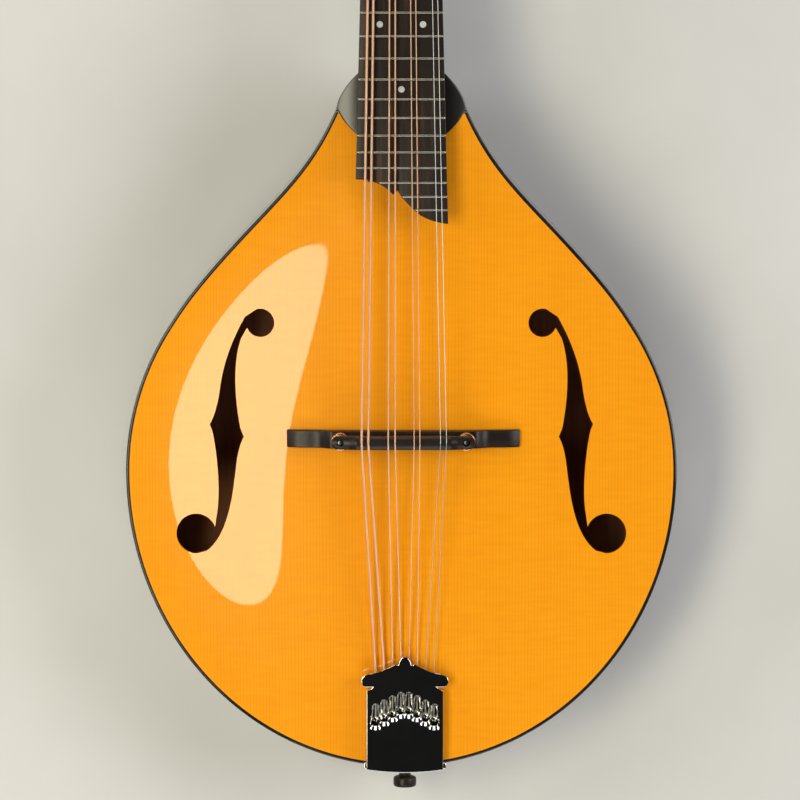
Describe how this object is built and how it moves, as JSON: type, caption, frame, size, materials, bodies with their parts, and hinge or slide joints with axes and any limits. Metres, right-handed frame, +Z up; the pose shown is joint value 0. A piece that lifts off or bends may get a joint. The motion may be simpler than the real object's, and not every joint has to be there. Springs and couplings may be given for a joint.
{
  "type": "mandolin",
  "caption": "Eight-string alto mandolin with an oval carved body, f-shaped sound holes, adjustable bridge, cast tailpiece and geared tuning machines.",
  "frame": {"origin": "centre of the bounding box's bottom face; the instrument lies on its back, touching the surface with the belly of its back and the two corners of its headstock's end", "axes": "+Y runs along the strings from the tail to the headstock, +Z points up out of the soundboard, +X is the side of the thin strings"},
  "size_m": [0.2828, 0.7433, 0.0962],
  "materials": {
    "spruce_top": "gloss, honey amber stain over straight fine grain",
    "black_lacquered_maple": "high gloss black lacquer",
    "mahogany": "raw",
    "willow_lining": "raw",
    "spruce_brace": "raw",
    "black_binding": "gloss",
    "ebony": "satin, brown streaks",
    "steel": "satin",
    "brass": "satin",
    "fret_wire": "polished",
    "pearl": "pearl",
    "bone": "polished",
    "copper_brass": "satin, knurled",
    "nickel": "mirror polish",
    "bronze_wound": "fine winding",
    "plain_steel": "drawn wire",
    "knob_pearloid": "pearloid"
  },
  "bodies": {
    "instrument": {"soundboard": "spruce_top", "back_plate": "black_lacquered_maple", "rib_bass": "black_lacquered_maple", "rib_treble": "black_lacquered_maple", "head_block": "mahogany", "tail_block": "mahogany", "top_linings": "willow_lining", "back_linings": "willow_lining", "tone_bars": "spruce_brace", "top_binding": "black_binding", "back_binding": "black_binding", "neck": "black_lacquered_maple", "headstock": "black_lacquered_maple", "headstock_overlay": "ebony", "truss_rod": "steel", "truss_rod_cover": "ebony", "truss_cover_screws": "steel", "fretboard": "ebony", "frets": "fret_wire", "position_dots": "pearl", "side_dots": "pearl", "nut": "bone", "bridge_base": "ebony", "bridge_posts": "steel", "tailpiece": "nickel", "tailpiece_screws": "steel", "end_pin": "ebony", "tuner_plate_bass": "nickel", "tuner_plate_treble": "nickel", "tuner_screws": "steel", "post_bushings": "nickel", "string_1": "bronze_wound", "string_2": "bronze_wound", "string_3": "bronze_wound", "string_4": "bronze_wound", "string_5": "bronze_wound", "string_6": "bronze_wound", "string_7": "plain_steel", "string_8": "plain_steel"},
    "truss_nut": {"truss_rod_nut": "brass"},
    "saddle": {"bridge_saddle": "ebony"},
    "wheel_bass": {"thumbwheel_bass": "copper_brass"},
    "wheel_treble": {"thumbwheel_treble": "copper_brass"},
    "post_1": {"tuner_post_1": "nickel"},
    "post_2": {"tuner_post_2": "nickel"},
    "post_3": {"tuner_post_3": "nickel"},
    "post_4": {"tuner_post_4": "nickel"},
    "post_5": {"tuner_post_5": "nickel"},
    "post_6": {"tuner_post_6": "nickel"},
    "post_7": {"tuner_post_7": "nickel"},
    "post_8": {"tuner_post_8": "nickel"},
    "knob_1": {"tuner_knob_1": "knob_pearloid"},
    "knob_2": {"tuner_knob_2": "knob_pearloid"},
    "knob_3": {"tuner_knob_3": "knob_pearloid"},
    "knob_4": {"tuner_knob_4": "knob_pearloid"},
    "knob_5": {"tuner_knob_5": "knob_pearloid"},
    "knob_6": {"tuner_knob_6": "knob_pearloid"},
    "knob_7": {"tuner_knob_7": "knob_pearloid"},
    "knob_8": {"tuner_knob_8": "knob_pearloid"}
  },
  "joints": [
    {"name": "saddle_height", "type": "slide", "parent": "instrument", "child": "saddle", "axis": [0, -0.0381, 0.9993], "range_m": [-0.0015, 0.0015], "deforming": ["string_1", "string_2", "string_3", "string_4", "string_5", "string_6", "string_7", "string_8"]},
    {"name": "wheel_bass_turn", "type": "hinge", "parent": "saddle", "child": "wheel_bass", "pos_m": [-0.0311, -0.18836, 0.08563], "axis": [0, -0.0381, 0.9993], "range_deg": [-900, 900]},
    {"name": "wheel_treble_turn", "type": "hinge", "parent": "saddle", "child": "wheel_treble", "pos_m": [0.0331, -0.18836, 0.08563], "axis": [0, -0.0381, 0.9993], "range_deg": [-900, 900]},
    {"name": "truss_nut_turn", "type": "hinge", "parent": "instrument", "child": "truss_nut", "pos_m": [0, 0.23129, 0.05596], "axis": [0, 0.9983, -0.0578], "range_deg": [-360, 360]},
    {"name": "knob_1_turn", "type": "hinge", "parent": "instrument", "child": "knob_1", "pos_m": [-0.0235, 0.26138, 0.02988], "axis": [1, 0, 0], "continuous": true},
    {"name": "post_1_turn", "type": "hinge", "parent": "instrument", "child": "post_1", "pos_m": [-0.0235, 0.25995, 0.05006], "axis": [0, 0.3142, 0.9493], "continuous": true},
    {"name": "knob_2_turn", "type": "hinge", "parent": "instrument", "child": "knob_2", "pos_m": [-0.0235, 0.28341, 0.02259], "axis": [1, 0, 0], "continuous": true},
    {"name": "post_2_turn", "type": "hinge", "parent": "instrument", "child": "post_2", "pos_m": [-0.0235, 0.28197, 0.04277], "axis": [0, 0.3142, 0.9493], "continuous": true},
    {"name": "knob_3_turn", "type": "hinge", "parent": "instrument", "child": "knob_3", "pos_m": [-0.0235, 0.30543, 0.0153], "axis": [1, 0, 0], "continuous": true},
    {"name": "post_3_turn", "type": "hinge", "parent": "instrument", "child": "post_3", "pos_m": [-0.0235, 0.304, 0.03548], "axis": [0, 0.3142, 0.9493], "continuous": true},
    {"name": "knob_4_turn", "type": "hinge", "parent": "instrument", "child": "knob_4", "pos_m": [-0.0235, 0.32746, 0.00801], "axis": [1, 0, 0], "continuous": true},
    {"name": "post_4_turn", "type": "hinge", "parent": "instrument", "child": "post_4", "pos_m": [-0.0235, 0.32602, 0.02819], "axis": [0, 0.3142, 0.9493], "continuous": true},
    {"name": "knob_5_turn", "type": "hinge", "parent": "instrument", "child": "knob_5", "pos_m": [0.0235, 0.32746, 0.00801], "axis": [1, 0, 0], "continuous": true},
    {"name": "post_5_turn", "type": "hinge", "parent": "instrument", "child": "post_5", "pos_m": [0.0235, 0.32602, 0.02819], "axis": [0, 0.3142, 0.9493], "continuous": true},
    {"name": "knob_6_turn", "type": "hinge", "parent": "instrument", "child": "knob_6", "pos_m": [0.0235, 0.30543, 0.0153], "axis": [1, 0, 0], "continuous": true},
    {"name": "post_6_turn", "type": "hinge", "parent": "instrument", "child": "post_6", "pos_m": [0.0235, 0.304, 0.03548], "axis": [0, 0.3142, 0.9493], "continuous": true},
    {"name": "knob_7_turn", "type": "hinge", "parent": "instrument", "child": "knob_7", "pos_m": [0.0235, 0.28341, 0.02259], "axis": [1, 0, 0], "continuous": true},
    {"name": "post_7_turn", "type": "hinge", "parent": "instrument", "child": "post_7", "pos_m": [0.0235, 0.28197, 0.04277], "axis": [0, 0.3142, 0.9493], "continuous": true},
    {"name": "knob_8_turn", "type": "hinge", "parent": "instrument", "child": "knob_8", "pos_m": [0.0235, 0.26138, 0.02988], "axis": [1, 0, 0], "continuous": true},
    {"name": "post_8_turn", "type": "hinge", "parent": "instrument", "child": "post_8", "pos_m": [0.0235, 0.25995, 0.05006], "axis": [0, 0.3142, 0.9493], "continuous": true}
  ],
  "couplings": [
    {"joint": "wheel_bass_turn", "follows": "saddle_height", "rad_per_m": 9894.8},
    {"joint": "wheel_treble_turn", "follows": "saddle_height", "rad_per_m": 9894.8},
    {"joint": "post_1_turn", "follows": "knob_1_turn", "ratio": -0.0625},
    {"joint": "post_2_turn", "follows": "knob_2_turn", "ratio": -0.0625},
    {"joint": "post_3_turn", "follows": "knob_3_turn", "ratio": -0.0625},
    {"joint": "post_4_turn", "follows": "knob_4_turn", "ratio": -0.0625},
    {"joint": "post_5_turn", "follows": "knob_5_turn", "ratio": 0.0625},
    {"joint": "post_6_turn", "follows": "knob_6_turn", "ratio": 0.0625},
    {"joint": "post_7_turn", "follows": "knob_7_turn", "ratio": 0.0625},
    {"joint": "post_8_turn", "follows": "knob_8_turn", "ratio": 0.0625}
  ]
}
